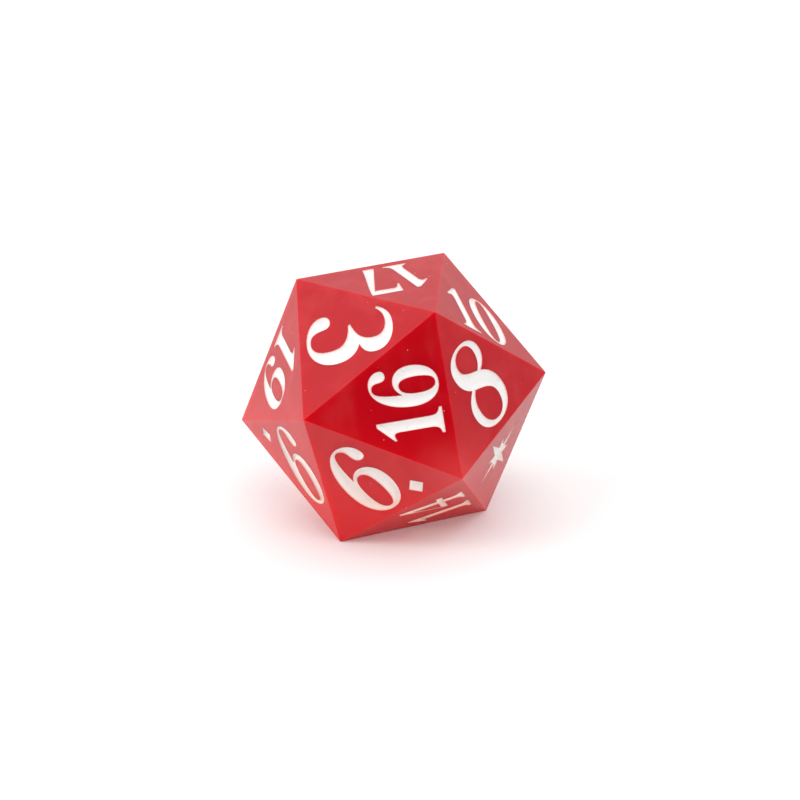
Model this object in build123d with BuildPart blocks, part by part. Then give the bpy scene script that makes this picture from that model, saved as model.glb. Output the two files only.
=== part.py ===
"""Twenty-sided die, cast in resin, with paint laid in its engraved numerals.

The die is a regular icosahedron that stands on the face of its 4, so the face of its 17 is on top.
Opposite faces add up to 21. The face of the 20 carries a star in place of digits.

Frame: millimetres, +Z up, the origin at the centre of the face that the die stands on. -Y is the
front, where the corner between the 16, the 8, the 20, the 14 and the 6 points, and +X is right.

Pieces: one resin casting, and the paint of each face, which fills the foot of its engraving.
"""

import os
from dataclasses import dataclass
from math import cos, radians, sin, sqrt

from build123d import *

# Driving dimensions
ACROSS_FLATS = 22.0  # between opposite faces
EDGE_ROUND = 0.12  # radius of every edge and corner of the casting
ENGRAVING_DEPTH = 0.50  # from a face to the floor of its engraving
PAINT_RECESS = 0.12  # from a face down to its paint
FOOT_CLEARANCE = 0.71  # between a face's lower edge and the foot of its numeral
SIDE_CLEARANCE = 0.10  # between a face's side edges and the box round its widest numeral
SINGLE_CLEARANCE = 0.25  # between a face's side edges and the outline of a digit that stands alone
SINGLE_GAIN = 1.90  # how much taller a digit stands alone than in a pair, where there is room
DIGIT_GAP = 0.36  # between the two digits of a pair
MARK_SIZE = 1.65  # across the corners of the diamond that tells 6 and 9 apart
MARK_GAP = 0.45  # between the digit and its diamond
MARKED_SHIFT = 0.35  # how far a digit with a diamond stands left of its face's middle
STAR_CLEARANCE = 0.71  # between the star's lower long point and the face's lower edge
STAR_SHORT_POINT = 2.05  # from the star's centre to its short points
STAR_NOTCH = 1.05  # from the star's centre to the notches between its points

# Shape of a regular icosahedron
GOLDEN = (1 + sqrt(5)) / 2
EDGE = ACROSS_FLATS * sqrt(3) / GOLDEN**2
CORNER_RADIUS = EDGE * sqrt(GOLDEN * sqrt(5)) / 2  # from the centre to a corner
FACE_CORNER = EDGE / sqrt(3)  # from a face's centre to its corners
FACE_EDGE = FACE_CORNER / 2  # from a face's centre to its edges
RING_RADIUS = GOLDEN * FACE_CORNER  # of the two middle rings of corners
RING_RISE = sqrt(CORNER_RADIUS**2 - RING_RADIUS**2)  # of those rings from mid-height
MID_HEIGHT = ACROSS_FLATS / 2

FOOT = FOOT_CLEARANCE - FACE_EDGE  # a numeral's foot, measured up from its face's centre
SLANT = cos(radians(30))  # a point (x, y) lies (FACE_CORNER - y) / 2 - SLANT * |x| inside a side edge
CAP_HEIGHT = 100.0  # a digit's height in the units of its outline
OPPOSITE_SUM = 21
STAR_NUMBER = 20
MARKED_NUMBERS = (6, 9)


def corner(radius: float, angle: float, height: float) -> Vector:
    """The corner at an angle from +X, in degrees, on a ring of that radius and height."""
    return Vector(radius * cos(radians(angle)), radius * sin(radians(angle)), height)


CORNERS = {
    "top_front": corner(FACE_CORNER, -90, ACROSS_FLATS),
    "top_right": corner(FACE_CORNER, 30, ACROSS_FLATS),
    "top_left": corner(FACE_CORNER, 150, ACROSS_FLATS),
    "upper_right": corner(RING_RADIUS, -30, MID_HEIGHT + RING_RISE),
    "upper_back": corner(RING_RADIUS, 90, MID_HEIGHT + RING_RISE),
    "upper_left": corner(RING_RADIUS, 210, MID_HEIGHT + RING_RISE),
    "lower_front": corner(RING_RADIUS, -90, MID_HEIGHT - RING_RISE),
    "lower_right": corner(RING_RADIUS, 30, MID_HEIGHT - RING_RISE),
    "lower_left": corner(RING_RADIUS, 150, MID_HEIGHT - RING_RISE),
    "base_right": corner(FACE_CORNER, -30, 0),
    "base_back": corner(FACE_CORNER, 90, 0),
    "base_left": corner(FACE_CORNER, 210, 0),
}

# Ten faces, one of each opposite pair. A numeral stands upright towards its face's first corner.
FRONT_FACES = {
    3: ("top_front", "top_left", "upper_left"),
    6: ("upper_left", "base_left", "lower_front"),
    8: ("top_front", "upper_right", "lower_front"),
    9: ("base_left", "lower_left", "upper_left"),
    10: ("top_right", "upper_right", "top_front"),
    14: ("base_left", "lower_front", "base_right"),
    16: ("upper_left", "top_front", "lower_front"),
    17: ("top_front", "top_left", "top_right"),
    19: ("upper_left", "top_left", "lower_left"),
    20: ("upper_right", "lower_front", "base_right"),
}


def face_plane(corners: list[Vector]) -> Plane:
    """The plane of a face: the origin at its centre, Y to its first corner and Z outwards."""
    centre = (corners[0] + corners[1] + corners[2]) / 3
    outward = (centre - Vector(0, 0, MID_HEIGHT)).normalized()
    upward = (corners[0] - centre).normalized()
    return Plane(origin=centre, x_dir=upward.cross(outward), z_dir=outward)


def number_planes() -> dict[int, Plane]:
    """The plane of each number's face. A face is its opposite's image in the die's centre."""
    planes = {}
    for number, names in FRONT_FACES.items():
        corners = [CORNERS[name] for name in names]
        opposite = [Vector(0, 0, ACROSS_FLATS) - point for point in corners]
        planes[number] = face_plane(corners)
        planes[OPPOSITE_SUM - number] = face_plane(opposite)
    return dict(sorted(planes.items()))


@dataclass(frozen=True)
class Digit:
    """A digit, 100 units high, its left side at x = 0 and its foot at y = 0.

    An outline is a start point and the steps that lead back to it. Two numbers are a straight run
    to that point, and six are a Bezier curve: two handles and its end. The digit's own outline
    comes first, and its counters follow.
    """

    width: float
    outlines: tuple


def half_turn(digit: Digit) -> Digit:
    """The digit turned upside down in its own box."""
    box = (digit.width, CAP_HEIGHT)

    def turned(step: tuple) -> tuple:
        return tuple(box[index % 2] - value for index, value in enumerate(step))

    return Digit(digit.width, tuple(tuple(map(turned, steps)) for steps in digit.outlines))


ZERO = Digit(
    62,
    (
        (
            (31, 101),
            (50, 101, 62, 79, 62, 50),
            (62, 21, 50, -1, 31, -1),
            (12, -1, 0, 21, 0, 50),
            (0, 79, 12, 101, 31, 101),
        ),
        (
            (31, 96),
            (22.5, 96, 19, 80, 19, 50),
            (19, 20, 22.5, 4, 31, 4),
            (39.5, 4, 43, 20, 43, 50),
            (43, 80, 39.5, 96, 31, 96),
        ),
    ),
)

ONE = Digit(
    40,
    (
        (
            (23.5, 98),
            (29, 98),
            (29, 21),
            (29, 10, 32, 6.5, 40, 5),
            (40, 0.5),
            (2, 0.5),
            (2, 5),
            (9.5, 6.5, 12.5, 10, 12.5, 21),
            (12.5, 65),
            (12.5, 74.5, 9, 75.5, 1, 71),
            (0, 74),
            (23.5, 98),
        ),
    ),
)

TWO = Digit(
    58,
    (
        (
            (28, 101),
            (45, 101, 55, 91, 55, 75),
            (55, 60, 44, 50, 33, 39),
            (25, 31, 19, 24, 15, 15.5),
            (39, 15.5),
            (48, 15.5, 51.5, 19, 54, 29),
            (58, 29),
            (55, 0),
            (0, 0),
            (0, 4.5),
            (4, 16, 13, 28, 23, 40),
            (33, 52, 38.5, 61, 38.5, 74),
            (38.5, 88, 33.5, 96.5, 25, 96.5),
            (19.5, 96.5, 18, 92, 17.5, 85),
            (17, 79, 14.5, 74.5, 9, 74.5),
            (4.5, 74.5, 1, 77.5, 1, 82),
            (1, 93, 12, 101, 28, 101),
        ),
    ),
)

THREE = Digit(
    65,
    (
        (
            (34, 101.5),
            (50, 101.5, 61.5, 93, 61.5, 80),
            (61.5, 70.5, 56.5, 65, 47, 61),
            (58, 58, 65, 49, 65, 34),
            (65, 14, 50, -1, 29.5, -1),
            (12, -1, 0, 7.5, 0, 18.5),
            (0, 24.5, 4, 28, 9.5, 28),
            (14.5, 28, 17, 24.5, 17.5, 18),
            (18.5, 8.5, 22, 4, 30, 4),
            (41.5, 4, 47, 13, 47, 27),
            (47, 42.5, 38.5, 49, 19.5, 49),
            (18, 51.5),
            (30, 56, 42.5, 62.5, 42.5, 79),
            (42.5, 88, 36.5, 92.5, 27, 92.5),
            (18.5, 92.5, 12, 89, 6.5, 82),
            (4, 83.5),
            (10, 95.5, 19, 101.5, 34, 101.5),
        ),
    ),
)

FOUR = Digit(
    61,
    (
        (
            (37, 100),
            (46, 100),
            (46, 41),
            (61, 41),
            (61, 31),
            (46, 31),
            (46, 20),
            (46, 10, 49, 6.5, 57, 5),
            (57, 0.5),
            (20, 0.5),
            (20, 5),
            (27.5, 6.5, 30.5, 10, 30.5, 20),
            (30.5, 31),
            (0, 31),
            (0, 37),
            (37, 100),
        ),
        (
            (30.5, 79),
            (30.5, 41),
            (7, 41),
            (30.5, 79),
        ),
    ),
)

FIVE = Digit(
    59,
    (
        (
            (10, 101),
            (20, 99, 38, 99, 51, 102),
            (50, 86),
            (38, 84, 24, 84.5, 14.5, 85.5),
            (13.5, 61),
            (19, 64.5, 25, 66, 31.5, 66),
            (48, 66, 59, 53, 59, 34),
            (59, 13, 45, -1, 27, -1),
            (11, -1, 0, 7, 0, 18),
            (0, 24, 4, 27.5, 9.5, 27.5),
            (14.5, 27.5, 17, 24, 17.5, 17.5),
            (18, 9, 21, 4, 27.5, 4),
            (37.5, 4, 41, 15, 41, 31),
            (41, 48, 36.5, 59, 26.5, 59),
            (20, 59, 15, 56, 12, 51),
            (8, 52),
            (10, 101),
        ),
    ),
)

SIX = Digit(
    59.5,
    (
        (
            (36, 101),
            (49, 101, 57.5, 92, 57.5, 82),
            (57.5, 77.5, 54, 74.5, 49.5, 74.5),
            (44, 74.5, 41.5, 79, 41, 85),
            (40.5, 92, 38.5, 96.5, 32, 96.5),
            (23, 96.5, 19.5, 82, 18.5, 54),
            (23, 61, 29.5, 65.5, 37, 65.5),
            (50.5, 65.5, 59.5, 54, 59.5, 37),
            (59.5, 15, 48, -1, 30, -1),
            (11.5, -1, 0, 15, 0, 40),
            (0, 73, 15, 101, 36, 101),
        ),
        (
            (31.5, 57),
            (22.5, 57, 18.5, 47, 18.5, 31),
            (18.5, 14, 22.5, 4, 31, 4),
            (39.5, 4, 42.5, 15, 42.5, 32),
            (42.5, 47, 39.5, 57, 31.5, 57),
        ),
    ),
)

SEVEN = Digit(
    57,
    (
        (
            (7, 101),
            (57, 101),
            (52, 74, 36, 38, 26, 0),
            (7, 0),
            (45.5, 84.5),
            (15, 85.5),
            (8.5, 85.5, 6.5, 77, 2, 70.5),
            (0, 71.5),
            (7, 101),
        ),
    ),
)

EIGHT = Digit(
    61.5,
    (
        (
            (32, 101),
            (48, 101, 58, 92.5, 58, 80),
            (58, 70, 52.5, 64.5, 43.5, 60),
            (55, 53, 61.5, 42, 61.5, 28),
            (61.5, 11, 49.5, -1, 30.5, -1),
            (12, -1, 0, 9.5, 0, 26),
            (0, 38.5, 7.5, 45.5, 16.5, 51),
            (7.5, 57.5, 3, 66, 3, 77),
            (3, 91, 14.5, 101, 32, 101),
        ),
        (
            (32.5, 97),
            (22.5, 97, 15.5, 91, 15.5, 82),
            (15.5, 71.5, 25.5, 68.5, 38.5, 62.5),
            (45, 67, 48, 74, 48, 81.5),
            (48, 91, 42, 97, 32.5, 97),
        ),
        (
            (31, 4),
            (42.5, 4, 48.5, 13, 48.5, 24),
            (48.5, 37.5, 36, 42.5, 21.5, 48.5),
            (14.5, 43, 11.5, 36, 11.5, 27),
            (11.5, 14, 19, 4, 31, 4),
        ),
    ),
)

DIGITS = {
    "0": ZERO,
    "1": ONE,
    "2": TWO,
    "3": THREE,
    "4": FOUR,
    "5": FIVE,
    "6": SIX,
    "7": SEVEN,
    "8": EIGHT,
    "9": half_turn(SIX),
}
PLANES = number_planes()
PAIRS = [str(number) for number in PLANES if number > 9 and number != STAR_NUMBER]


def pair_height() -> float:
    """The height at which the box round the widest pair of digits clears its face's sides."""
    width_per_height = max(sum(DIGITS[digit].width for digit in pair) for pair in PAIRS) / CAP_HEIGHT
    room = (FACE_CORNER - FOOT) / 2 - SIDE_CLEARANCE - SLANT * DIGIT_GAP / 2
    return room / (1 / 2 + SLANT * width_per_height / 2)


def single_height(digit: Digit, shift: float) -> float:
    """The height of a digit that stands alone, shift to the side of its face's middle."""
    steps = [step for outline in digit.outlines for step in outline]
    points = [point for step in steps for point in zip(step[::2], step[1::2])]
    reach = max(y / 2 + SLANT * abs(x - digit.width / 2) for x, y in points) / CAP_HEIGHT
    room = (FACE_CORNER - FOOT) / 2 - SINGLE_CLEARANCE - SLANT * shift
    return min(pair_height() + SINGLE_GAIN, room / reach)


def draw_digit(digit: Digit, left: float, height: float) -> None:
    """Add a digit to the sketch in hand, its left side at left and its foot at FOOT."""
    unit = height / CAP_HEIGHT

    def place(step: tuple) -> list[tuple]:
        return [(left + unit * x, FOOT + unit * y) for x, y in zip(step[::2], step[1::2])]

    for index, (start, *steps) in enumerate(digit.outlines):
        here = place(start)[0]
        with BuildLine() as outline:
            for step in steps:
                *handles, end = place(step)
                if handles:
                    Bezier(here, *handles, end)
                else:
                    Line(here, end)
                here = end
        make_face(outline.edges(), mode=Mode.SUBTRACT if index else Mode.ADD)


def draw_diamond(left: float) -> None:
    """Add the diamond of a marked number, its left corner at left and its lowest at FOOT."""
    reach = MARK_SIZE / 2
    with BuildLine() as outline:
        Polyline(
            (left, FOOT + reach),
            (left + reach, FOOT),
            (left + 2 * reach, FOOT + reach),
            (left + reach, FOOT + 2 * reach),
            close=True,
        )
    make_face(outline.edges())


def draw_star() -> None:
    """Add a compass star of four long and four short points."""
    long_point = FACE_EDGE - STAR_CLEARANCE
    reaches = (long_point, STAR_NOTCH, STAR_SHORT_POINT, STAR_NOTCH) * 4
    turns = [radians(90 + 360 * index / len(reaches)) for index in range(len(reaches))]
    with BuildLine() as outline:
        Polyline(
            *((reach * cos(turn), reach * sin(turn)) for reach, turn in zip(reaches, turns)),
            close=True,
        )
    make_face(outline.edges())


def numeral(number: int) -> Sketch:
    """The flat figure of a number, round the centre of its face."""
    text = str(number)
    shift = MARKED_SHIFT if number in MARKED_NUMBERS else 0
    height = single_height(DIGITS[text], shift) if len(text) == 1 else pair_height()
    widths = [DIGITS[digit].width * height / CAP_HEIGHT for digit in text]
    left = -(sum(widths) + DIGIT_GAP * (len(text) - 1)) / 2 - shift
    with BuildSketch() as figure:
        if number == STAR_NUMBER:
            draw_star()
        else:
            for digit, width in zip(text, widths):
                draw_digit(DIGITS[digit], left, height)
                left += width + DIGIT_GAP
        if number in MARKED_NUMBERS:
            draw_diamond(left - DIGIT_GAP + MARK_GAP)
    return figure.sketch


FIGURES = {number: numeral(number) for number in PLANES}

# The casting: a ball cut flat on twenty sides, its edges eased, then engraved.
with BuildPart() as die_body:
    with Locations((0, 0, MID_HEIGHT)):
        Sphere(radius=ACROSS_FLATS)
    for plane in PLANES.values():
        split(bisect_by=plane, keep=Keep.BOTTOM)
    fillet(die_body.edges(), radius=EDGE_ROUND)
    for number, plane in PLANES.items():
        with BuildSketch(plane):
            add(FIGURES[number])
        extrude(amount=-ENGRAVING_DEPTH, mode=Mode.SUBTRACT)
die_body.part.label = "die_body"

# The paint of each face, from the floor of its engraving up to just under the face.
pieces = [die_body.part]
for number, plane in PLANES.items():
    with BuildPart() as paint:
        with BuildSketch(plane.offset(-ENGRAVING_DEPTH)):
            add(FIGURES[number])
        extrude(amount=ENGRAVING_DEPTH - PAINT_RECESS)
    paint.part.label = f"paint_{number:02d}"
    pieces.append(paint.part)

os.makedirs("parts", exist_ok=True)
for piece in pieces:
    export_step(piece, f"parts/{piece.label}.step")
    print(piece.label, "solids", len(piece.solids()), "volume", round(piece.volume, 3))
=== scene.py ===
"""Twenty-sided die of translucent red resin, dressed around its CAD frame.

The casting is rebuilt by Geometry Nodes from the rule of its shape: small balls stand on the
twelve corners of a regular icosahedron, their hull is the eased solid, and the twenty engravings
are cut out of it. The paint in each engraving sinks between its walls as a drying film does.
Metres, +Z up, the die standing on the face of its 4, with its origin at that face's centre.
"""

import logging
import math
from dataclasses import dataclass, field
from enum import Enum

import bmesh
import bpy
import numpy as np
from mathutils import Matrix, Vector
from mathutils.geometry import delaunay_2d_cdt


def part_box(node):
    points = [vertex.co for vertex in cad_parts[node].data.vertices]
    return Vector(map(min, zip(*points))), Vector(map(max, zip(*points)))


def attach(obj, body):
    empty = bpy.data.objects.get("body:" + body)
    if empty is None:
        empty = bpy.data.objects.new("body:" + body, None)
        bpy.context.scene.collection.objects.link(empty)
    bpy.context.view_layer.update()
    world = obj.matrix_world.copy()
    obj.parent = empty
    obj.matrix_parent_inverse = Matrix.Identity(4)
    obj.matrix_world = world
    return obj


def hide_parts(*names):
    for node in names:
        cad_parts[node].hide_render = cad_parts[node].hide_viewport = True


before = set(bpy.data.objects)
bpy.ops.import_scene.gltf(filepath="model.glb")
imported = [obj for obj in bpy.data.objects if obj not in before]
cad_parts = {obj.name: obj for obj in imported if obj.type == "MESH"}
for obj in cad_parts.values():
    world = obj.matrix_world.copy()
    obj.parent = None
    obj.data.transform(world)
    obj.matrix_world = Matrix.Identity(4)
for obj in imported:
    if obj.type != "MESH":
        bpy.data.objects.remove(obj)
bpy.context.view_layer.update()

LOG = logging.getLogger("die")
MM = 0.001
LEVEL = 0.01 * MM  # heights closer than this are one level
JOIN = 0.0001 * MM  # points closer than this are one point
GOLDEN = (1 + math.sqrt(5)) / 2
BODY = "root"
CASTING_NODE = "die_body"
COVER = "cover"


class Slot(Enum):
    """The record's material slots."""

    RESIN = "resin"
    PAINT = "paint"


@dataclass(frozen=True)
class Face:
    """A face of the die, with the axes that its figure is laid out on."""

    number: int
    centre: Vector
    right: Vector
    up: Vector
    outward: Vector

    def flat(self, points: np.ndarray) -> np.ndarray:
        """Points in the face's own axes.

        Args:
            points: Rows of x, y, z in the die's frame.

        Returns:
            Rows of distance right, up and outward from the face's centre.
        """
        axes = np.array([self.right, self.up, self.outward])
        return (points - np.array(self.centre)) @ axes.T

    def placed(self, points: np.ndarray) -> np.ndarray:
        """Points in the die's frame.

        Args:
            points: Rows of distance right, up and outward from the face's centre.

        Returns:
            Rows of x, y, z.
        """
        axes = np.array([self.right, self.up, self.outward])
        return points @ axes + np.array(self.centre)


@dataclass(frozen=True)
class Icosahedron:
    """The regular solid that the die is cast in, standing on one face."""

    across_flats: float

    @property
    def middle(self) -> Vector:
        """The centre of the solid."""
        return Vector((0, 0, self.across_flats / 2))

    @property
    def corners(self) -> dict[str, Vector]:
        """The twelve corners by name, in rings of three from the top face down."""
        edge = self.across_flats * math.sqrt(3) / GOLDEN**2
        face_radius = edge / math.sqrt(3)
        ring_radius = GOLDEN * face_radius
        corner_radius = edge * math.sqrt(GOLDEN * math.sqrt(5)) / 2
        rise = math.sqrt(corner_radius**2 - ring_radius**2)
        middle = self.across_flats / 2
        rings = (
            (face_radius, self.across_flats, {"top_front": -90, "top_right": 30, "top_left": 150}),
            (ring_radius, middle + rise, {"upper_right": -30, "upper_back": 90, "upper_left": 210}),
            (ring_radius, middle - rise, {"lower_front": -90, "lower_right": 30, "lower_left": 150}),
            (face_radius, 0.0, {"base_right": -30, "base_back": 90, "base_left": 210}),
        )
        return {
            name: Vector(
                (radius * math.cos(math.radians(turn)), radius * math.sin(math.radians(turn)), z)
            )
            for radius, z, names in rings
            for name, turn in names.items()
        }

    def faces(self) -> dict[int, Face]:
        """The twenty faces by number. A figure stands upright towards its face's first corner."""
        front = {
            3: ("top_front", "top_left", "upper_left"),
            6: ("upper_left", "base_left", "lower_front"),
            8: ("top_front", "upper_right", "lower_front"),
            9: ("base_left", "lower_left", "upper_left"),
            10: ("top_right", "upper_right", "top_front"),
            14: ("base_left", "lower_front", "base_right"),
            16: ("upper_left", "top_front", "lower_front"),
            17: ("top_front", "top_left", "top_right"),
            19: ("upper_left", "top_left", "lower_left"),
            20: ("upper_right", "lower_front", "base_right"),
        }
        corners = self.corners
        found = {}
        for number, names in front.items():
            points = [corners[name] for name in names]
            opposite = [2 * self.middle - point for point in points]
            found[number] = self._face(number, points)
            found[21 - number] = self._face(21 - number, opposite)
        return dict(sorted(found.items()))

    def _face(self, number: int, points: list[Vector]) -> Face:
        """The face through three corners.

        Args:
            number: The number engraved on it.
            points: Its corners, the one that its figure points up to first.

        Returns:
            The face with its axes.
        """
        centre = (points[0] + points[1] + points[2]) / 3
        outward = (centre - self.middle).normalized()
        up = (points[0] - centre).normalized()
        return Face(number, centre, up.cross(outward), up, outward)


class Tree:
    """Adds nodes to a tree and joins them."""

    def __init__(self, tree: bpy.types.NodeTree) -> None:
        """Starts on a tree, emptied of its nodes.

        Args:
            tree: The node tree to build in.
        """
        self.tree = tree
        tree.nodes.clear()

    def add(self, kind: str, sockets: dict | None = None, **settings: object) -> bpy.types.Node:
        """A new node.

        Args:
            kind: The node's type name.
            sockets: Input name or index to a value, or to the output socket that feeds it.
            settings: The node's own properties.

        Returns:
            The node.
        """
        node = self.tree.nodes.new(kind)
        for name, value in settings.items():
            setattr(node, name, value)
        for name, value in (sockets or {}).items():
            if isinstance(value, bpy.types.NodeSocket):
                self.tree.links.new(value, node.inputs[name])
            else:
                node.inputs[name].default_value = value
        return node

    def math(self, operation: str, first: object, second: object) -> bpy.types.NodeSocket:
        """A Math node on two values.

        Args:
            operation: The node's operation.
            first: A number or an output socket.
            second: A number or an output socket.

        Returns:
            The node's output.
        """
        kind = "ShaderNodeMath"
        return self.add(kind, {0: first, 1: second}, operation=operation).outputs[0]

    def vector(self, operation: str, first: object, second: object) -> bpy.types.Node:
        """A Vector Math node on two vectors.

        Args:
            operation: The node's operation.
            first: A vector or an output socket.
            second: A vector or an output socket.

        Returns:
            The node.
        """
        return self.add("ShaderNodeVectorMath", {0: first, 1: second}, operation=operation)

    def noise(self, place: bpy.types.NodeSocket, size: float, detail: float) -> bpy.types.NodeSocket:
        """Noise of a given grain.

        Args:
            place: The coordinates that it reads.
            size: The size of its blots.
            detail: How many finer layers it has.

        Returns:
            Its value, about 0.5.
        """
        sockets = {"Vector": place, "Scale": 1 / size, "Detail": detail, "Roughness": 0.55}
        return self.add("ShaderNodeTexNoise", sockets).outputs[0]

    def blend(self, share: object, first: object, second: object) -> bpy.types.NodeSocket:
        """One colour laid over another.

        Args:
            share: How much of the second shows.
            first: A colour or an output socket.
            second: A colour or an output socket.

        Returns:
            The mixed colour.
        """
        colours = [c if isinstance(c, bpy.types.NodeSocket) else (*c, 1) for c in (first, second)]
        sockets = {0: share, 6: colours[0], 7: colours[1]}
        return self.add("ShaderNodeMix", sockets, data_type="RGBA").outputs[2]

    def ramp(self, value: bpy.types.NodeSocket, low: float, high: float) -> bpy.types.NodeSocket:
        """A smooth rise from 0 to 1.

        Args:
            value: What it follows.
            low: The value where the rise starts.
            high: The value where it ends.

        Returns:
            The risen value.
        """
        node = self.add(
            "ShaderNodeMapRange",
            {"Value": value, "From Min": low, "From Max": high},
            interpolation_type="SMOOTHSTEP",
        )
        return node.outputs[0]

    def finish_material(self, shader: bpy.types.Node, shadow_tint: tuple[float, float, float]) -> None:
        """Ends a translucent material, whose shadow is tinted by the light that comes through it.

        Args:
            shader: What the surface itself shows.
            shadow_tint: The share of light that each surface of the piece lets through.
        """
        lamp = self.add("ShaderNodeLightPath").outputs["Is Shadow Ray"]
        through = self.add("ShaderNodeBsdfTransparent", {"Color": (*shadow_tint, 1)})
        mixed = self.add("ShaderNodeMixShader", {0: lamp, 1: shader.outputs[0], 2: through.outputs[0]})
        self.add("ShaderNodeOutputMaterial", {"Surface": mixed.outputs[0]})


def geometry_tree(name: str, inputs: dict[str, str]) -> tuple[Tree, bpy.types.Node]:
    """A new geometry tree with named inputs.

    Args:
        name: The tree's name.
        inputs: Input name to socket type, after the geometry itself.

    Returns:
        The builder, and the node that gives the inputs.
    """
    group = bpy.data.node_groups.new(name, "GeometryNodeTree")
    face = group.interface
    face.new_socket("Geometry", in_out="INPUT", socket_type="NodeSocketGeometry")
    for label, kind in inputs.items():
        face.new_socket(label, in_out="INPUT", socket_type=kind)
    face.new_socket("Geometry", in_out="OUTPUT", socket_type="NodeSocketGeometry")
    tree = Tree(group)
    return tree, tree.add("NodeGroupInput")


def grown(name: str, tree: Tree, values: dict[str, object], base: bpy.types.Mesh) -> bpy.types.Object:
    """A plain object made by a geometry tree.

    Args:
        name: The object's name.
        tree: The tree to run.
        values: Input name to value.
        base: The mesh that goes into the tree.

    Returns:
        An object at the origin, with a plain mesh and no modifiers.
    """
    maker = bpy.data.objects.new(name, base)
    bpy.context.scene.collection.objects.link(maker)
    modifier = maker.modifiers.new("Grow", "NODES")
    modifier.node_group = tree.tree
    for item in tree.tree.interface.items_tree:
        if item.in_out == "INPUT" and item.name in values:
            modifier[item.identifier] = values[item.name]
    maker.modifiers.new("Even shading", "WEIGHTED_NORMAL").keep_sharp = True
    evaluated = maker.evaluated_get(bpy.context.evaluated_depsgraph_get())
    mesh = bpy.data.meshes.new_from_object(evaluated, depsgraph=bpy.context.evaluated_depsgraph_get())
    mesh.name = name
    bpy.data.objects.remove(maker)
    piece = bpy.data.objects.new(name, mesh)
    bpy.context.scene.collection.objects.link(piece)
    return piece


def declare(piece: bpy.types.Object, slot: Slot, *nodes: str) -> None:
    """Tells the frame where a finished piece belongs.

    Args:
        piece: The piece.
        slot: The record's slot that its finish comes from; not used.
        nodes: The CAD nodes that it stands for.
    """
    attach(piece, BODY)
    if nodes:
        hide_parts(*nodes)
    LOG.info("%s: %d faces", piece.name, len(piece.data.polygons))


@dataclass(frozen=True)
class PaintedUnderglow:
    """Painted glow: the colour lightens towards one side of the casting's foot.

    It stands in for light that comes through the resin and up from the floor. The starts and ends
    are shares of the across-flats size: along the way from the middle for the glow, and above the
    foot for the lowness.
    """

    shape: Icosahedron
    way: tuple[float, float, float] = (-0.35, -0.14, -0.93)
    underglow_start: float = -0.05
    underglow_end: float = 0.525
    low_start: float = 0.33
    low_end: float = 0.08

    def share(self, tree: Tree, place: bpy.types.NodeSocket) -> bpy.types.NodeSocket:
        """How much painted glow there is.

        Args:
            tree: The material's tree.
            place: The object coordinates.

        Returns:
            From 0 at the far side of the casting to 1 where the painted glow is strongest.
        """
        from_middle = tree.vector("SUBTRACT", place, self.shape.middle).outputs[0]
        along = tree.vector("DOT_PRODUCT", from_middle, self.way).outputs["Value"]
        size = self.shape.across_flats
        return tree.ramp(along, self.underglow_start * size, self.underglow_end * size)

    def lowness(self, tree: Tree, place: bpy.types.NodeSocket) -> bpy.types.NodeSocket:
        """How near the foot of the casting a place is.

        Args:
            tree: The material's tree.
            place: The object coordinates.

        Returns:
            From 0 in the casting's upper part to 1 at its foot.
        """
        size = self.shape.across_flats
        height = tree.add("ShaderNodeSeparateXYZ", {0: place}).outputs["Z"]
        return tree.ramp(height, self.low_start * size, self.low_end * size)


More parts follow.
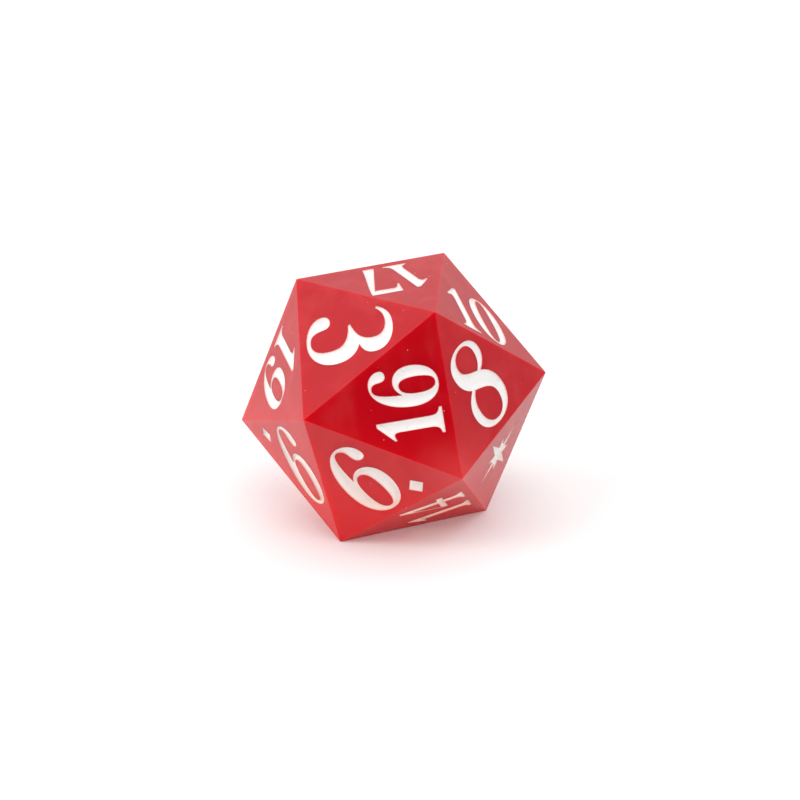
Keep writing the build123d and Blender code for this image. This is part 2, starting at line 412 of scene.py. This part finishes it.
@dataclass(frozen=True)
class Resin:
    """Cast resin: deep red, clouded with milky streaks, polished on its flats, with painted glow at its
    foot and lower front corner.
    """

    underglow: PaintedUnderglow
    deep: tuple[float, float, float] = (0.49, 0.001, 0.008)
    milky: tuple[float, float, float] = (0.53, 0.016, 0.022)
    # The next two colours are painted glow: lighter reds that stand in for light coming through the resin
    # at its foot and lower front corner.
    pale: tuple[float, float, float] = (0.70, 0.006, 0.010)
    corner_glow_colour: tuple[float, float, float] = (0.60, 0.040, 0.045)
    depth_of_light: float = 2.0 * MM
    reach: tuple[float, float, float] = (1.0, 0.12, 0.10)
    shadow_tint: tuple[float, float, float] = (0.54, 0.43, 0.43)
    roughness: float = 0.16
    uneven_polish: float = 0.06
    polish_size: float = 1.1 * MM
    ripple: float = 0.02 * MM
    ripple_strength: float = 0.02
    streak_size: float = 5.0 * MM
    streak_swirl: float = 1.4
    streak_share: float = 0.7
    lean: tuple[float, float, float] = (0.9, 0.5, 0.4)
    stretch: tuple[float, float, float] = (1.0, 1.0, 0.30)
    cloud_size: float = 2.2 * MM
    milk_start: float = 0.43
    milk_end: float = 0.68
    # Where the painted corner glow lies, how far it reaches, and how it follows the milky streaks.
    glow_corner: str = "lower_front"
    glow_reach: float = 5.5 * MM
    glow_streak_start: float = 0.2
    glow_streak_end: float = 0.6

    def colour(self, tree: Tree, place: bpy.types.NodeSocket) -> bpy.types.NodeSocket:
        """The resin's colour, with painted glow on the lower side of the casting and at its lower front
        corner.

        Args:
            tree: The material's tree.
            place: The object coordinates.

        Returns:
            The colour.
        """
        leaning = {"Vector": place, "Rotation": self.lean, "Scale": self.stretch}
        leaned = tree.add("ShaderNodeMapping", leaning).outputs[0]
        scale = 1 / self.streak_size
        swirled = {"Vector": leaned, "Scale": scale, "Detail": 5.0, "Distortion": self.streak_swirl}
        streaks = tree.add("ShaderNodeTexNoise", swirled).outputs[0]
        clouds = tree.noise(place, self.cloud_size, 3.0)
        streaked = tree.math("MULTIPLY", streaks, self.streak_share)
        clouded = tree.math("MULTIPLY", clouds, 1 - self.streak_share)
        milk = tree.math("ADD", streaked, clouded)
        body = tree.blend(tree.ramp(milk, self.milk_start, self.milk_end), self.deep, self.milky)
        # Painted glow: the colour lightens towards one side of the foot, standing in for light that comes
        # through the resin and up from the floor.
        body_with_underglow = tree.blend(self.underglow.share(tree, place), body, self.pale)
        # Painted glow: near the lower front corner, where the milky streaks run, the colour turns a paler
        # red, standing in for floor light coming through the corner.
        corner = self.underglow.shape.corners[self.glow_corner]
        away = tree.vector("DISTANCE", place, corner).outputs["Value"]
        near = tree.ramp(away, self.glow_reach, 0.0)
        corner_glow_share = tree.math("MULTIPLY", near, tree.ramp(streaks, self.glow_streak_start, self.glow_streak_end))
        return tree.blend(corner_glow_share, body_with_underglow, self.corner_glow_colour)

    def material(self) -> bpy.types.Material:
        """The resin's material."""
        material = bpy.data.materials.new("red_resin")
        material.use_nodes = True
        tree = Tree(material.node_tree)
        place = tree.add("ShaderNodeTexCoord").outputs["Object"]
        polish = tree.noise(place, self.polish_size, 4.0)
        gloss = tree.math("ADD", tree.math("MULTIPLY", polish, self.uneven_polish), self.roughness)
        bump = {"Strength": self.ripple_strength, "Distance": self.ripple, "Height": polish}
        shader = tree.add(
            "ShaderNodeBsdfPrincipled",
            {
                "Base Color": self.colour(tree, place),
                "Roughness": gloss,
                "IOR": 1.5,
                "Subsurface Weight": 1.0,
                "Subsurface Radius": self.reach,
                "Subsurface Scale": self.depth_of_light,
                "Normal": tree.add("ShaderNodeBump", bump).outputs[0],
            },
        )
        tree.finish_material(shader, self.shadow_tint)
        return material


@dataclass(frozen=True)
class Paint:
    """Off-white paint, matt, thin at its rim, with painted glow: warmer on the lower side of the casting
    and peach at the foot.
    """

    underglow: PaintedUnderglow
    white: tuple[float, float, float] = (0.83, 0.815, 0.805)
    # The next two colours are painted glow, standing in for red light from the resin and the floor on the
    # lower side and at the foot.
    warm: tuple[float, float, float] = (0.89, 0.79, 0.74)
    peach: tuple[float, float, float] = (0.97, 0.69, 0.57)
    worn: tuple[float, float, float] = (0.60, 0.57, 0.57)
    thin: tuple[float, float, float] = (0.80, 0.30, 0.24)
    shadow_tint: tuple[float, float, float] = (0.90, 0.85, 0.85)
    roughness: float = 0.5
    blotch_size: float = 0.9 * MM
    blotch_start: float = 0.55
    blotch_end: float = 0.80
    pit_size: float = 0.22 * MM
    pit_start: float = 0.66
    pit_end: float = 0.74
    wear: float = 0.5
    grain_size: float = 0.16 * MM
    grain_height: float = 0.01 * MM
    grain_strength: float = 0.2
    glow_through: float = 0.15
    reach: tuple[float, float, float] = (1.0, 0.8, 0.7)
    depth_of_light: float = 0.2 * MM

    def material(self) -> bpy.types.Material:
        """The paint's material."""
        material = bpy.data.materials.new("white_paint")
        material.use_nodes = True
        tree = Tree(material.node_tree)
        place = tree.add("ShaderNodeTexCoord").outputs["Object"]
        # Painted glow: the paint warms on the lower side of the casting and turns peach near the foot,
        # standing in for red light bounced from the floor and coming through the resin.
        coat_with_glow = tree.blend(self.underglow.share(tree, place), self.white, self.warm)
        coat_with_glow = tree.blend(self.underglow.lowness(tree, place), coat_with_glow, self.peach)
        blotches = tree.ramp(tree.noise(place, self.blotch_size, 5.0), self.blotch_start, self.blotch_end)
        pits = tree.ramp(tree.noise(place, self.pit_size, 2.0), self.pit_start, self.pit_end)
        blotched = tree.math("MULTIPLY", blotches, self.wear)
        pitted = tree.math("MULTIPLY", pits, self.wear)
        aged = tree.blend(tree.math("ADD", blotched, pitted), coat_with_glow, self.worn)
        cover = tree.add("ShaderNodeAttribute", attribute_name=COVER).outputs["Fac"]
        grain = tree.noise(place, self.grain_size, 3.0)
        bump = {"Strength": self.grain_strength, "Distance": self.grain_height, "Height": grain}
        shader = tree.add(
            "ShaderNodeBsdfPrincipled",
            {
                "Base Color": tree.blend(cover, self.thin, aged),
                "Roughness": self.roughness,
                "Subsurface Weight": self.glow_through,
                "Subsurface Radius": self.reach,
                "Subsurface Scale": self.depth_of_light,
                "Normal": tree.add("ShaderNodeBump", bump).outputs[0],
            },
        )
        tree.finish_material(shader, self.shadow_tint)
        return material


@dataclass(frozen=True)
class Speck:
    """The pale dust and tiny bubbles caught in the skin of the resin."""

    pink: tuple[float, float, float] = (0.80, 0.28, 0.29)
    white: tuple[float, float, float] = (0.86, 0.62, 0.62)
    tone_size: float = 2.0 * MM
    tone_start: float = 0.4
    tone_end: float = 0.6
    roughness: float = 0.4

    def material(self) -> bpy.types.Material:
        """The specks' material."""
        material = bpy.data.materials.new("pale_specks")
        material.use_nodes = True
        tree = Tree(material.node_tree)
        place = tree.add("ShaderNodeTexCoord").outputs["Object"]
        patches = tree.ramp(tree.noise(place, self.tone_size, 1.0), self.tone_start, self.tone_end)
        tone = tree.blend(patches, self.pink, self.white)
        sockets = {"Base Color": tone, "Roughness": self.roughness}
        shader = tree.add("ShaderNodeBsdfPrincipled", sockets)
        tree.add("ShaderNodeOutputMaterial", {"Surface": shader.outputs[0]})
        return material


@dataclass
class Engraving:
    """The outlines of one face's figure, read from the CAD paint that lies in it."""

    face: Face
    points: np.ndarray = field(init=False)
    edges: np.ndarray = field(init=False)
    surface: float = field(init=False)
    floor: float = field(init=False)

    def __post_init__(self) -> None:
        """Reads the paint's upper outline, and the depths of its surface and floor."""
        solid = merged(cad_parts[self.node].data)
        flat = self.face.flat(np.array([v.co for v in solid.verts]))
        self.surface = float(flat[:, 2].max())
        self.floor = float(flat[:, 2].min())
        on_top = flat[:, 2] > self.surface - LEVEL
        keys = {index: key for key, index in enumerate(np.flatnonzero(on_top))}
        rim = [
            [keys[v.index] for v in edge.verts]
            for edge in solid.edges
            if all(v.index in keys for v in edge.verts)
            and sum(all(v.index in keys for v in face.verts) for face in edge.link_faces) == 1
        ]
        self.points = flat[on_top, :2]
        self.edges = np.array(rim)
        solid.free()

    @property
    def node(self) -> str:
        """The CAD node of this face's paint."""
        return f"paint_{self.face.number:02d}"

    def inside(self, spots: np.ndarray) -> np.ndarray:
        """Which spots lie within the figure.

        Args:
            spots: Rows of x, y on the face.

        Returns:
            True for each spot inside an outline and outside its counters.
        """
        start = self.points[self.edges[:, 0]]
        end = self.points[self.edges[:, 1]]
        x, y = spots[:, :1], spots[:, 1:]
        spans = (start[:, 1] > y) != (end[:, 1] > y)
        height = np.where(end[:, 1] == start[:, 1], 1.0, end[:, 1] - start[:, 1])
        crossing = start[:, 0] + (y - start[:, 1]) * (end[:, 0] - start[:, 0]) / height
        return (spans & (crossing > x)).sum(axis=1) % 2 == 1

    def distance(self, spots: np.ndarray) -> np.ndarray:
        """How far each spot is from the nearest outline.

        Args:
            spots: Rows of x, y on the face.

        Returns:
            The distances.
        """
        start = self.points[self.edges[:, 0]]
        run = self.points[self.edges[:, 1]] - start
        offset = spots[:, None, :] - start[None]
        share = (offset * run).sum(axis=2) / (run * run).sum(axis=1)
        nearest = offset - np.clip(share, 0, 1)[..., None] * run
        return np.sqrt((nearest**2).sum(axis=2)).min(axis=1)


def merged(mesh: bpy.types.Mesh) -> bmesh.types.BMesh:
    """A mesh with the points that its triangles share joined up.

    Args:
        mesh: A CAD node's mesh, which is left as it is.

    Returns:
        The joined copy, to be freed by whoever asked for it.
    """
    solid = bmesh.new()
    solid.from_mesh(mesh)
    bmesh.ops.remove_doubles(solid, verts=solid.verts, dist=JOIN)
    solid.verts.index_update()
    return solid


@dataclass
class Casting:
    """The resin casting: an eased icosahedron with twenty engravings."""

    shape: Icosahedron
    engravings: list[Engraving]
    finish: Resin
    edge_round: float = 0.12 * MM
    ball_fineness: int = 4
    cutter_rise: float = 0.4 * MM
    sharp_above: float = math.radians(32)

    def cutter(self) -> bpy.types.Object:
        """The twenty figures as solids that reach from the engravings' floors to above the faces."""
        joined = bmesh.new()
        for engraving in self.engravings:
            solid = merged(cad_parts[engraving.node].data)
            flat = engraving.face.flat(np.array([v.co for v in solid.verts]))
            flat[flat[:, 2] > engraving.surface - LEVEL, 2] = self.cutter_rise
            for vertex, point in zip(solid.verts, engraving.face.placed(flat)):
                vertex.co = point
            mesh = bpy.data.meshes.new("figure")
            solid.to_mesh(mesh)
            solid.free()
            joined.from_mesh(mesh)
            bpy.data.meshes.remove(mesh)
        mesh = bpy.data.meshes.new("cutter")
        joined.to_mesh(mesh)
        joined.free()
        cutter = bpy.data.objects.new("cutter", mesh)
        bpy.context.scene.collection.objects.link(cutter)
        return cutter

    def tree(self) -> Tree:
        """The geometry tree that grows the casting from its across-flats size."""
        tree, given = geometry_tree(
            "Engraved icosahedron",
            {
                "Across Flats": "NodeSocketFloat",
                "Edge Round": "NodeSocketFloat",
                "Ball Fineness": "NodeSocketInt",
                "Sharp Above": "NodeSocketFloat",
                "Figures": "NodeSocketObject",
                "Material": "NodeSocketMaterial",
            },
        )
        flats, ease = given.outputs["Across Flats"], given.outputs["Edge Round"]
        corner_share = math.sqrt(3 * GOLDEN * math.sqrt(5)) / (2 * GOLDEN**2)
        inner_flats = tree.math("SUBTRACT", flats, tree.math("MULTIPLY", ease, 2.0))
        corners = tree.add(
            "GeometryNodeMeshIcoSphere",
            {"Radius": tree.math("MULTIPLY", inner_flats, corner_share), "Subdivisions": 1},
        )
        # An icosphere stands on a corner. This lean brings a face down, and the turn its corner back.
        lean = math.pi - math.acos(-math.sqrt((5 + 2 * math.sqrt(5)) / 15))
        lift = tree.add("ShaderNodeCombineXYZ", {"Z": tree.math("MULTIPLY", flats, 0.5)})
        stood = tree.add(
            "GeometryNodeTransform",
            {"Geometry": corners.outputs["Mesh"], "Rotation": (0.0, lean, -math.pi / 2)},
        )
        raised = tree.add(
            "GeometryNodeTransform",
            {"Geometry": stood.outputs[0], "Translation": lift.outputs[0]},
        )
        ball = tree.add(
            "GeometryNodeMeshIcoSphere",
            {"Radius": ease, "Subdivisions": given.outputs["Ball Fineness"]},
        )
        balls = tree.add(
            "GeometryNodeInstanceOnPoints",
            {"Points": raised.outputs[0], "Instance": ball.outputs["Mesh"]},
        )
        loose = tree.add("GeometryNodeRealizeInstances", {"Geometry": balls.outputs[0]})
        hull = tree.add("GeometryNodeConvexHull", {"Geometry": loose.outputs[0]})
        figures = tree.add("GeometryNodeObjectInfo", {"Object": given.outputs["Figures"]})
        cut = tree.add(
            "GeometryNodeMeshBoolean",
            {"Mesh 1": hull.outputs[0], "Mesh 2": figures.outputs["Geometry"]},
            operation="DIFFERENCE",
            solver="EXACT",
        )
        bend = tree.add("GeometryNodeInputMeshEdgeAngle").outputs["Unsigned Angle"]
        soft = tree.add(
            "FunctionNodeCompare",
            {"A": bend, "B": given.outputs["Sharp Above"]},
            data_type="FLOAT",
            operation="LESS_THAN",
        )
        smooth = tree.add(
            "GeometryNodeSetShadeSmooth",
            {"Geometry": cut.outputs["Mesh"], "Shade Smooth": True},
            domain="FACE",
        )
        shaded = tree.add(
            "GeometryNodeSetShadeSmooth",
            {"Geometry": smooth.outputs[0], "Shade Smooth": soft.outputs[0]},
            domain="EDGE",
        )
        dressed = tree.add(
            "GeometryNodeSetMaterial",
            {"Geometry": shaded.outputs[0], "Material": given.outputs["Material"]},
        )
        tree.add("NodeGroupOutput", {0: dressed.outputs[0]})
        return tree

    def build(self) -> bpy.types.Object:
        """The finished casting."""
        cutter = self.cutter()
        piece = grown(
            "resin_casting",
            self.tree(),
            {
                "Across Flats": self.shape.across_flats,
                "Edge Round": self.edge_round,
                "Ball Fineness": self.ball_fineness,
                "Sharp Above": self.sharp_above,
                "Figures": cutter,
                "Material": self.finish.material(),
            },
            bpy.data.meshes.new("seed"),
        )
        bpy.data.objects.remove(cutter)
        declare(piece, Slot.RESIN, CASTING_NODE)
        return piece


@dataclass
class Specks:
    """Tiny pale grains scattered in the casting's skin, by Geometry Nodes."""

    casting: bpy.types.Object
    finish: Speck
    per_square_metre: float = 50000.0
    smallest: float = 0.016 * MM
    largest: float = 0.050 * MM
    sunk: float = 0.6
    seed: int = 7

    def tree(self) -> Tree:
        """The geometry tree that scatters the grains over the casting."""
        tree, given = geometry_tree(
            "Scattered specks",
            {
                "Density": "NodeSocketFloat",
                "Smallest": "NodeSocketFloat",
                "Largest": "NodeSocketFloat",
                "Sunk": "NodeSocketFloat",
                "Seed": "NodeSocketInt",
                "Material": "NodeSocketMaterial",
            },
        )
        seed = given.outputs["Seed"]
        sockets = {"Mesh": given.outputs["Geometry"], "Density": given.outputs["Density"], "Seed": seed}
        points = tree.add("GeometryNodeDistributePointsOnFaces", sockets, distribute_method="RANDOM")
        sizes = {2: given.outputs["Smallest"], 3: given.outputs["Largest"], "Seed": seed}
        radius = tree.add("FunctionNodeRandomValue", sizes, data_type="FLOAT").outputs[1]
        depth = tree.math("MULTIPLY", tree.math("MULTIPLY", radius, given.outputs["Sunk"]), -1.0)
        inward = tree.add(
            "ShaderNodeVectorMath", {0: points.outputs["Normal"], "Scale": depth}, operation="SCALE"
        )
        moved = tree.add(
            "GeometryNodeSetPosition",
            {"Geometry": points.outputs["Points"], "Offset": inward.outputs[0]},
        )
        grain = tree.add("GeometryNodeMeshIcoSphere", {"Radius": 1.0, "Subdivisions": 2})
        scattered = tree.add(
            "GeometryNodeInstanceOnPoints",
            {"Points": moved.outputs[0], "Instance": grain.outputs["Mesh"], "Scale": radius},
        )
        loose = tree.add("GeometryNodeRealizeInstances", {"Geometry": scattered.outputs[0]})
        sockets = {"Geometry": loose.outputs[0], "Material": given.outputs["Material"]}
        dressed = tree.add("GeometryNodeSetMaterial", sockets)
        tree.add("NodeGroupOutput", {0: dressed.outputs[0]})
        return tree

    def build(self) -> bpy.types.Object:
        """The finished specks."""
        piece = grown(
            "resin_specks",
            self.tree(),
            {
                "Density": self.per_square_metre,
                "Smallest": self.smallest,
                "Largest": self.largest,
                "Sunk": self.sunk,
                "Seed": self.seed,
                "Material": self.finish.material(),
            },
            self.casting.data,
        )
        declare(piece, Slot.RESIN)
        return piece


@dataclass
class PaintedFigure:
    """The paint of one face: full against the engraving's walls and sunk between them."""

    engraving: Engraving
    dressing: bpy.types.Material
    rim: float = 0.02 * MM
    sink: float = 0.34 * MM
    wall_hold: float = 0.24 * MM
    spacing: float = 0.10 * MM
    clear: float = 0.10 * MM / 3
    thin_edge: float = 0.06 * MM
    sharp_above: float = math.radians(50)

    def interior(self) -> np.ndarray:
        """A honeycomb of spots inside the figure, clear of its outlines."""
        low = self.engraving.points.min(axis=0)
        high = self.engraving.points.max(axis=0)
        row_step = self.spacing * math.sqrt(3) / 2
        rows = np.arange(low[1], high[1], row_step)
        columns = np.arange(low[0], high[0], self.spacing)
        across, up = np.meshgrid(columns, rows)
        across = across + (np.arange(len(rows)) % 2)[:, None] * self.spacing / 2
        spots = np.column_stack([across.ravel(), up.ravel()])
        spots = spots[self.engraving.inside(spots)]
        return spots[self.engraving.distance(spots) > self.clear]

    def build(self) -> bpy.types.Object:
        """The finished paint of this face."""
        engraving = self.engraving
        border = engraving.points
        spots = self.interior()
        away = engraving.distance(spots)
        sunk = -self.rim - self.sink * (1 - np.exp(-away / self.wall_hold))
        plan = np.vstack([border, spots])
        top = np.column_stack([plan, np.append(np.full(len(border), -self.rim), sunk)])
        foot = np.column_stack([border, np.full(len(border), engraving.floor)])
        skin = self.triangles(plan)
        sole = self.triangles(border)
        corners = engraving.face.placed(np.vstack([top, foot]))
        count = len(top)
        faces = [tuple(t) for t in skin] + [tuple(count + i for i in reversed(t)) for t in sole]
        faces += [(a, b, count + b, count + a) for a, b in engraving.edges]
        mesh = bpy.data.meshes.new(f"painted_figure_{engraving.face.number:02d}")
        mesh.from_pydata([tuple(c) for c in corners], [], faces)
        solid = bmesh.new()
        solid.from_mesh(mesh)
        bmesh.ops.recalc_face_normals(solid, faces=solid.faces)
        for face in solid.faces:
            face.smooth = True
        for edge in solid.edges:
            edge.smooth = edge.calc_face_angle(0.0) < self.sharp_above
        solid.to_mesh(mesh)
        open_edges = sum(not edge.is_manifold for edge in solid.edges)
        if open_edges:
            LOG.warning("%s has %d open edges", mesh.name, open_edges)
        solid.free()
        cover = np.zeros(len(mesh.vertices), dtype=np.float32)
        cover[len(border) : count] = np.clip(away / self.thin_edge, 0, 1)
        mesh.attributes.new(COVER, "FLOAT", "POINT").data.foreach_set("value", cover)
        mesh.materials.append(self.dressing)
        piece = bpy.data.objects.new(mesh.name, mesh)
        bpy.context.scene.collection.objects.link(piece)
        declare(piece, Slot.PAINT, engraving.node)
        return piece

    def triangles(self, spots: np.ndarray) -> np.ndarray:
        """Triangles over the figure that keep to its outlines.

        Args:
            spots: Rows of x, y, the outline's points first.

        Returns:
            Rows of three indices into the spots.
        """
        scale = 1 / MM
        _, _, faces, sources, *_ = delaunay_2d_cdt(
            [Vector(spot * scale) for spot in spots], self.engraving.edges.tolist(), [], 0, 1e-6
        )
        found = np.array([[sources[i][0] for i in face] for face in faces])
        middles = spots[found].mean(axis=1)
        return found[self.engraving.inside(middles)]


@dataclass(frozen=True)
class Softbox:
    """A square soft light, by its turn from +X and its rise from the floor in degrees."""

    name: str
    turn: float
    rise: float
    distance: float
    power: float
    size: float = 0.5


@dataclass(frozen=True)
class Studio:
    """A pale floor, a white room that is dim round the camera, four softboxes and the camera.

    Turns are from +X and rises from the floor, both in degrees. The wall's start and end are the
    cosines from the brightest turn between which the room goes from its dim side to its bright one.
    """

    azimuth: float = math.radians(-26.0)
    elevation: float = math.radians(23.05)
    roll: float = math.radians(-0.39)
    distance: float = 279.3 * MM
    aim_right: float = 0.65 * MM
    aim_up: float = -0.34 * MM
    lens: float = 141.2
    nearest: float = 10 * MM
    furthest: float = 20.0
    floor_size: float = 6.0
    floor_colour: tuple[float, float, float] = (0.85, 0.85, 0.852)
    floor_glow: float = 0.07
    floor_bounce: tuple[float, float, float] = (0.74, 0.74, 0.74)
    backdrop: tuple[float, float, float] = (0.96, 0.96, 0.97)
    behind: float = 0.64
    before: float = 0.155
    bright_turn: float = 50
    wall_start: float = -0.1
    wall_end: float = 0.5
    overhead: float = 0.94
    overhead_from: float = 20
    overhead_full: float = 65
    shade_from: tuple[float, float] = (-110, 17)
    shade_edge: float = 38
    shade_core: float = 14
    shade: float = 0.03
    softboxes: tuple[Softbox, ...] = (
        Softbox("overhead", turn=-95, rise=62, distance=0.8, power=1.3),
        Softbox("left_rear", turn=185, rise=38, distance=1.2, power=3.0),
        Softbox("left_side", turn=154, rise=12, distance=1.2, power=6.6),
        Softbox("right_front", turn=-80, rise=12, distance=1.2, power=4.8),
    )

    def axes(self) -> tuple[Vector, Vector, Vector]:
        """The camera's right, up and back."""
        back = Vector(
            (
                math.sin(self.azimuth) * math.cos(self.elevation),
                -math.cos(self.azimuth) * math.cos(self.elevation),
                math.sin(self.elevation),
            )
        )
        level = Vector((math.cos(self.azimuth), math.sin(self.azimuth), 0))
        turn = Matrix.Rotation(self.roll, 3, back)
        return turn @ level, turn @ back.cross(level), back

    @staticmethod
    def towards(turn: float, rise: float) -> Vector:
        """The direction at a turn from +X and a rise from the floor, both in degrees."""
        flat = math.cos(math.radians(rise))
        across, along = math.cos(math.radians(turn)), math.sin(math.radians(turn))
        return Vector((flat * across, flat * along, math.sin(math.radians(rise))))

    def camera(self, shape: Icosahedron) -> None:
        """Sets the scene's camera.

        Args:
            shape: The die that it looks at.
        """
        right, up, back = self.axes()
        data = bpy.data.cameras.new("camera")
        data.lens = self.lens
        data.clip_start = self.nearest
        data.clip_end = self.furthest
        camera = bpy.data.objects.new("camera", data)
        place = shape.middle + back * self.distance + right * self.aim_right + up * self.aim_up
        turn = Matrix((right, up, back)).transposed().to_4x4()
        camera.matrix_world = Matrix.Translation(place) @ turn
        bpy.context.scene.collection.objects.link(camera)
        bpy.context.scene.camera = camera

    def floor(self) -> None:
        """Lays the floor."""
        material = bpy.data.materials.new("floor_paper")
        material.use_nodes = True
        tree = Tree(material.node_tree)
        paper = tree.add("ShaderNodeBsdfDiffuse", {"Color": (*self.floor_colour, 1)})
        glow = tree.add("ShaderNodeEmission", {"Color": (1, 1, 1, 1), "Strength": self.floor_glow})
        seen = tree.add("ShaderNodeAddShader", {0: paper.outputs[0], 1: glow.outputs[0]})
        bounce = tree.add("ShaderNodeBsdfDiffuse", {"Color": (*self.floor_bounce, 1)})
        path = tree.add("ShaderNodeLightPath").outputs["Is Camera Ray"]
        mixed = tree.add("ShaderNodeMixShader", {0: path, 1: bounce.outputs[0], 2: seen.outputs[0]})
        tree.add("ShaderNodeOutputMaterial", {"Surface": mixed.outputs[0]})
        half = self.floor_size / 2
        corners = [(-half, -half, 0), (half, -half, 0), (half, half, 0), (-half, half, 0)]
        mesh = bpy.data.meshes.new("floor")
        mesh.from_pydata(corners, [], [(0, 1, 2, 3)])
        mesh.materials.append(material)
        floor = bpy.data.objects.new("floor", mesh)
        bpy.context.scene.collection.objects.link(floor)

    def world(self) -> None:
        """Lights the room: brightest behind the die and overhead, dark where the camera stands."""
        world = bpy.data.worlds.new("studio")
        world.use_nodes = True
        bpy.context.scene.world = world
        tree = Tree(world.node_tree)
        way = tree.add("ShaderNodeTexCoord").outputs["Generated"]
        facing = tree.vector("DOT_PRODUCT", way, self.towards(*self.shade_from)).outputs["Value"]
        edge = math.cos(math.radians(self.shade_edge))
        core = math.cos(math.radians(self.shade_core))
        dark = tree.ramp(facing, edge, core)
        height = tree.add("ShaderNodeSeparateXYZ", {0: way}).outputs["Z"]
        low = math.sin(math.radians(self.overhead_from))
        high = math.sin(math.radians(self.overhead_full))
        above = tree.ramp(height, low, high)
        rear = tree.vector("DOT_PRODUCT", way, self.towards(self.bright_turn, 0)).outputs["Value"]
        bright = tree.ramp(rear, self.wall_start, self.wall_end)
        wall = tree.add(
            "ShaderNodeMapRange",
            {"Value": bright, "To Min": self.before, "To Max": self.behind},
        ).outputs[0]
        sky = tree.math("ADD", tree.math("MULTIPLY", above, self.overhead), wall)
        level = tree.add(
            "ShaderNodeMapRange",
            {"Value": dark, "To Min": sky, "To Max": self.shade},
        ).outputs[0]
        light = tree.add("ShaderNodeBackground", {"Color": (1, 1, 1, 1), "Strength": level})
        seen = tree.add("ShaderNodeBackground", {"Color": (*self.backdrop, 1), "Strength": 1.0})
        path = tree.add("ShaderNodeLightPath").outputs["Is Camera Ray"]
        mixed = tree.add("ShaderNodeMixShader", {0: path, 1: light.outputs[0], 2: seen.outputs[0]})
        tree.add("ShaderNodeOutputWorld", {"Surface": mixed.outputs[0]})

    def hang(self, box: Softbox, target: Vector) -> None:
        """Hangs a softbox. The polished faces take its light but don't mirror it.

        Args:
            box: The softbox.
            target: What it points at.
        """
        data = bpy.data.lights.new(box.name, "AREA")
        data.size = box.size
        data.energy = box.power
        light = bpy.data.objects.new(box.name, data)
        light.visible_glossy = False
        light.location = self.towards(box.turn, box.rise) * box.distance
        light.rotation_mode = "QUATERNION"
        light.rotation_quaternion = (light.location - target).to_track_quat("Z", "Y")
        bpy.context.scene.collection.objects.link(light)

    def build(self, shape: Icosahedron) -> None:
        """Sets up everything round the die.

        Args:
            shape: The die.
        """
        self.floor()
        self.world()
        for box in self.softboxes:
            self.hang(box, shape.middle)
        self.camera(shape)
        bpy.context.scene.view_settings.view_transform = "Standard"


def main() -> None:
    """Builds the die and its studio."""
    logging.basicConfig(level=logging.INFO, format="%(name)s: %(message)s")
    lowest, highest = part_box(CASTING_NODE)
    shape = Icosahedron(across_flats=highest.z - lowest.z)
    engravings = [Engraving(face) for face in shape.faces().values()]
    underglow = PaintedUnderglow(shape)
    casting = Casting(shape, engravings, Resin(underglow)).build()
    Specks(casting, Speck()).build()
    dressing = Paint(underglow).material()
    for engraving in engravings:
        PaintedFigure(engraving, dressing).build()
    Studio().build(shape)


if __name__ == "__main__":
    main()
